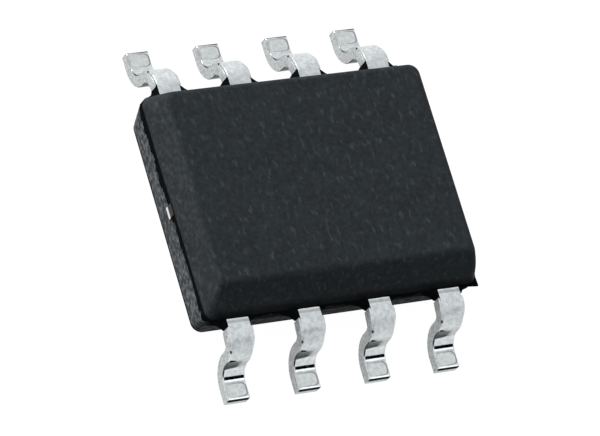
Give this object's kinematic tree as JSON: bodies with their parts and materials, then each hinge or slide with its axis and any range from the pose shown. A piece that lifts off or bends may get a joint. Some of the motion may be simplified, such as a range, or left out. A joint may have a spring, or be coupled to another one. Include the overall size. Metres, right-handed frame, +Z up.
{
  "type": "small-outline integrated circuit package",
  "caption": "Small-outline surface-mount chip: black moulded epoxy body with a pin 1 bevel and gull-wing leads on both long sides.",
  "frame": {"origin": "in the seating plane, under the middle of the body", "axes": "+X along the lead rows, +Y across them, away from the bevelled pin 1 side, +Z up out of the top face"},
  "size_m": [0.005, 0.0062, 0.0015],
  "materials": {
    "mould_epoxy": "black silica-filled epoxy, spark-eroded mould texture",
    "tin_plate": "matt tin electroplate over copper alloy",
    "leadframe_copper": "bare rolled copper alloy",
    "silver_epoxy": "silver-filled die-attach epoxy",
    "silicon": "sawn and passivated silicon",
    "gold_wire": "drawn gold"
  },
  "bodies": {
    "root": {"mould_body": "mould_epoxy", "die_pad": "leadframe_copper", "die_attach": "silver_epoxy", "die": "silicon", "lead_1": "tin_plate", "lead_2": "tin_plate", "lead_3": "tin_plate", "lead_4": "tin_plate", "lead_5": "tin_plate", "lead_6": "tin_plate", "lead_7": "tin_plate", "lead_8": "tin_plate", "bond_wire_1": "gold_wire", "bond_wire_2": "gold_wire", "bond_wire_3": "gold_wire", "bond_wire_4": "gold_wire", "bond_wire_5": "gold_wire", "bond_wire_6": "gold_wire", "bond_wire_7": "gold_wire", "bond_wire_8": "gold_wire"}
  },
  "joints": []
}
